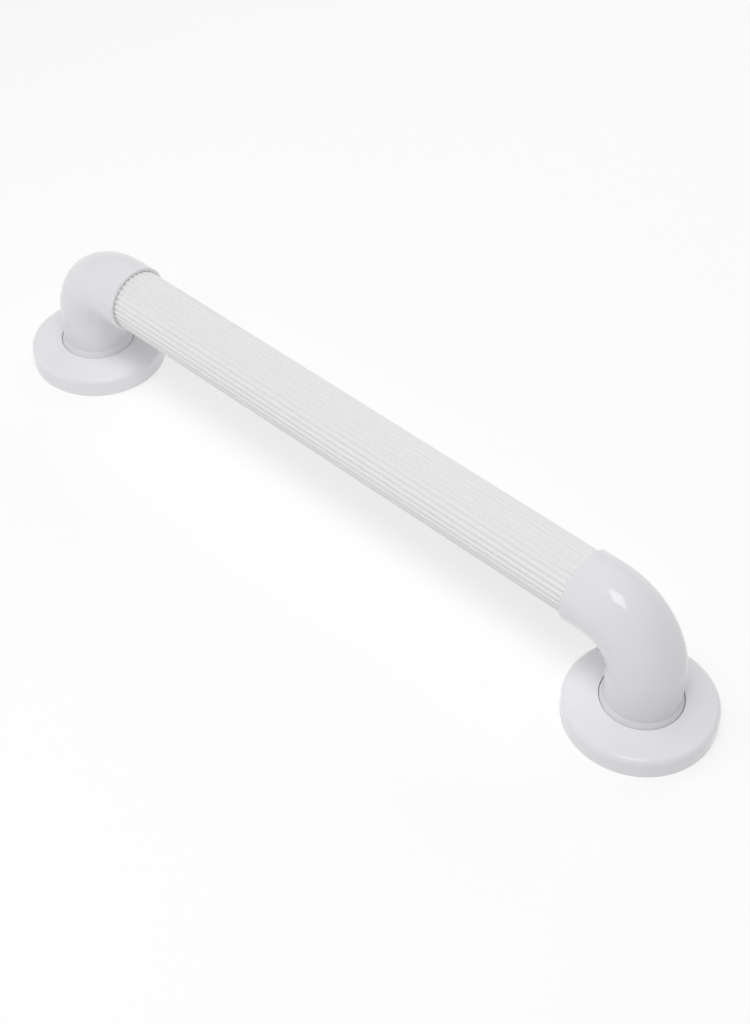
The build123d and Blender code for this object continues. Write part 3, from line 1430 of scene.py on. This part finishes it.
@dataclass(frozen=True)
class Studio:
    """Pale floor that meets a pale backdrop, a soft dome and the soft lights."""

    floor_size: float = 30.0
    floor_colour: tuple[float, float, float] = (0.41, 0.41, 0.41)
    cloud: float = 0.995
    near_glow: float = 0.57  # under the object
    far_glow: float = 0.845  # where the lights no longer reach
    near_reach: float = 0.7
    far_reach: float = 1.9
    zenith: float = 0.32
    horizon: float = 0.26
    sheen: float = 0.9  # horizon as the gloss sees it
    sheen_fall: float = 2.5
    backdrop: float = 0.97

    def floor(self) -> Piece:
        """Lays the floor.

        Returns:
            The floor object.
        """
        mesh = bmesh.new()
        bmesh.ops.create_grid(mesh, x_segments=1, y_segments=1, size=self.floor_size / 2)
        piece = finish_mesh(mesh, "studio_floor")
        material = bpy.data.materials.new("studio_floor")
        material.use_nodes = True
        wire = Wiring(material.node_tree)
        shader = material.node_tree.nodes["Principled BSDF"]
        shader.inputs["Roughness"].default_value = 0.9
        shader.inputs["Specular IOR Level"].default_value = 0.1
        shader.inputs["Emission Color"].default_value = (1.0, 1.0, 1.0, 1.0)
        place = wire.add("ShaderNodeTexCoord").outputs["Object"]
        distance = wire.add("ShaderNodeVectorMath", operation="LENGTH")
        wire.join(place, distance.inputs[0])
        glow = wire.add("ShaderNodeMapRange", interpolation_type="SMOOTHSTEP")
        ends = (self.near_reach, self.far_reach, self.near_glow, self.far_glow)
        for name, end in zip(("From Min", "From Max", "To Min", "To Max"), ends):
            glow.inputs[name].default_value = end
        wire.join(distance.outputs["Value"], glow.inputs["Value"])
        wire.join(glow.outputs["Result"], shader.inputs["Emission Strength"])
        cloudy = wire.noise(place, scale=1.5, detail=2.0)
        faint = tuple(channel * self.cloud for channel in self.floor_colour)
        wire.join(wire.tint(cloudy, self.floor_colour, faint), shader.inputs["Base Color"])
        piece.data.materials.append(material)
        return piece

    def dome(self) -> None:
        """Lights the scene from a dome that is brightest overhead and plain behind the floor."""
        world = bpy.data.worlds.new("studio_dome")
        bpy.context.scene.world = world
        world.use_nodes = True
        wire = Wiring(world.node_tree)
        background = world.node_tree.nodes["Background"]
        background.inputs["Color"].default_value = (1.0, 1.0, 1.0, 1.0)
        split = wire.add("ShaderNodeSeparateXYZ")
        wire.join(wire.add("ShaderNodeTexCoord").outputs["Generated"], split.inputs[0])
        glow = wire.spread(split.outputs["Z"], self.horizon, self.zenith)
        rise = wire.math(split.outputs["Z"], self.sheen_fall, operation="MULTIPLY")
        sheen = wire.spread(rise, self.sheen, self.zenith)
        path = wire.add("ShaderNodeLightPath").outputs
        lit = wire.spread(path["Is Glossy Ray"], glow, sheen)
        wire.join(wire.spread(path["Is Camera Ray"], lit, self.backdrop), background.inputs["Strength"])

    def lights(self) -> list[Softbox]:
        """The glinting strip overhead and the soft panels round the object."""
        return [
            Softbox(
                name="overhead_strip",
                place=(0.38, -0.32, 1.28),
                aim=(0.20, 0.0, 0.08),
                size=(0.44, 0.52),
                power=3.7,
                glints=True,
            ),
            Softbox(name="overhead_fill", place=(0.38, -0.32, 1.28), power=1.6),
            Softbox(name="high_front", place=(0.15, -0.5, 1.1), power=2.6),
            Softbox(name="high_left", place=(-0.5, -0.35, 1.1), power=1.7),
            Softbox(name="high_back", place=(-0.35, 0.45, 1.1), power=0.75),
            Softbox(name="low_front", place=(-0.3, -0.95, 0.5), power=0.95),
            Softbox(name="low_front_left", place=(-0.9, -0.6, 0.5), power=0.6),
            Softbox(name="low_left", place=(-1.0, 0.1, 0.5), power=0.6),
            Softbox(name="low_back_left", place=(-0.5, 0.85, 0.5), power=1.3),
            Softbox(name="low_back", place=(0.25, 0.95, 0.5), power=1.2),
            Softbox(name="low_back_right", place=(0.95, 0.5, 0.5), power=0.45),
        ]

    def build(self) -> None:
        """Sets up the floor, the lights and the plain colour response."""
        self.floor()
        self.dome()
        for light in self.lights():
            light.build()
        bpy.context.scene.view_settings.view_transform = "Standard"


# ---------------------------------------------------------------------------
# Assembly
# ---------------------------------------------------------------------------


def main() -> None:
    """Builds every piece round the frame, then the studio."""
    logging.basicConfig(level=logging.INFO, format="%(name)s: %(message)s")
    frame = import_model()
    sizes = RailSizes.measure()

    makers: list[FlutedGrip | Elbow | FlangeCover] = [FlutedGrip(sizes)]
    for side in Side:
        makers += [Elbow(sizes, side), FlangeCover(sizes, side)]
    for maker in makers:
        piece = maker.build()
        maker.dress(piece)
        LOG.info("%s: %d faces", piece.name, len(piece.data.polygons))

    for name in Fittings(frame["nodes"]).dress():
        LOG.info("%s keeps its CAD shape", name)

    Studio().build()
    Viewpoint().build()


if __name__ == "__main__":
    main()
